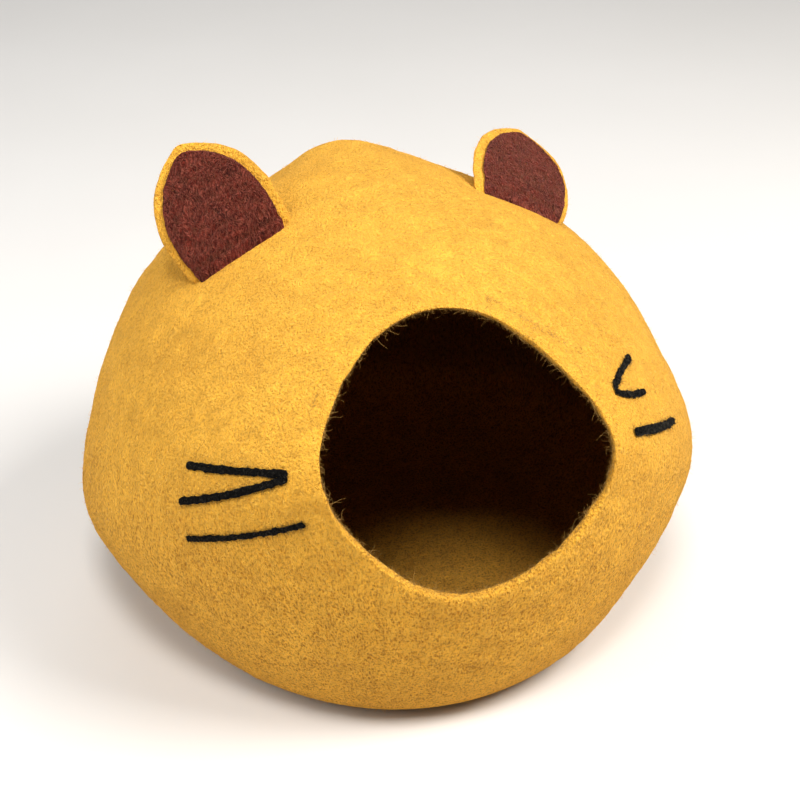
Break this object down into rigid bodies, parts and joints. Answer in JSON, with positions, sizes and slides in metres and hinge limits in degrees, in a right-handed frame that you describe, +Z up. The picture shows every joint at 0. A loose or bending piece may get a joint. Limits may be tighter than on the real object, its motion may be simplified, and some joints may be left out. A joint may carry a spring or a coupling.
{
  "type": "felt cat bed",
  "caption": "Seamless felted wool pod for a cat to sleep in, with a round front opening, cat ears with wool faces, and yarn whiskers.",
  "frame": {"origin": "middle of the flat base on the ground, under the pod", "axes": "+Z up, the round opening faces -Y, +X to the right seen from the front"},
  "size_m": [0.451, 0.4407, 0.3619],
  "materials": {
    "felt_yellow": "matt mustard wool felt",
    "wool_brown": "streaky brown carded wool, felted on",
    "yarn_black": "matt black felted yarn"
  },
  "bodies": {
    "root": {"body_shell": "felt_yellow", "ear_left": "felt_yellow", "ear_right": "felt_yellow", "ear_left_inner": "wool_brown", "ear_right_inner": "wool_brown", "whisker_left_v": "yarn_black", "whisker_left_lower": "yarn_black", "whisker_right_v": "yarn_black", "whisker_right_lower": "yarn_black"}
  },
  "joints": []
}
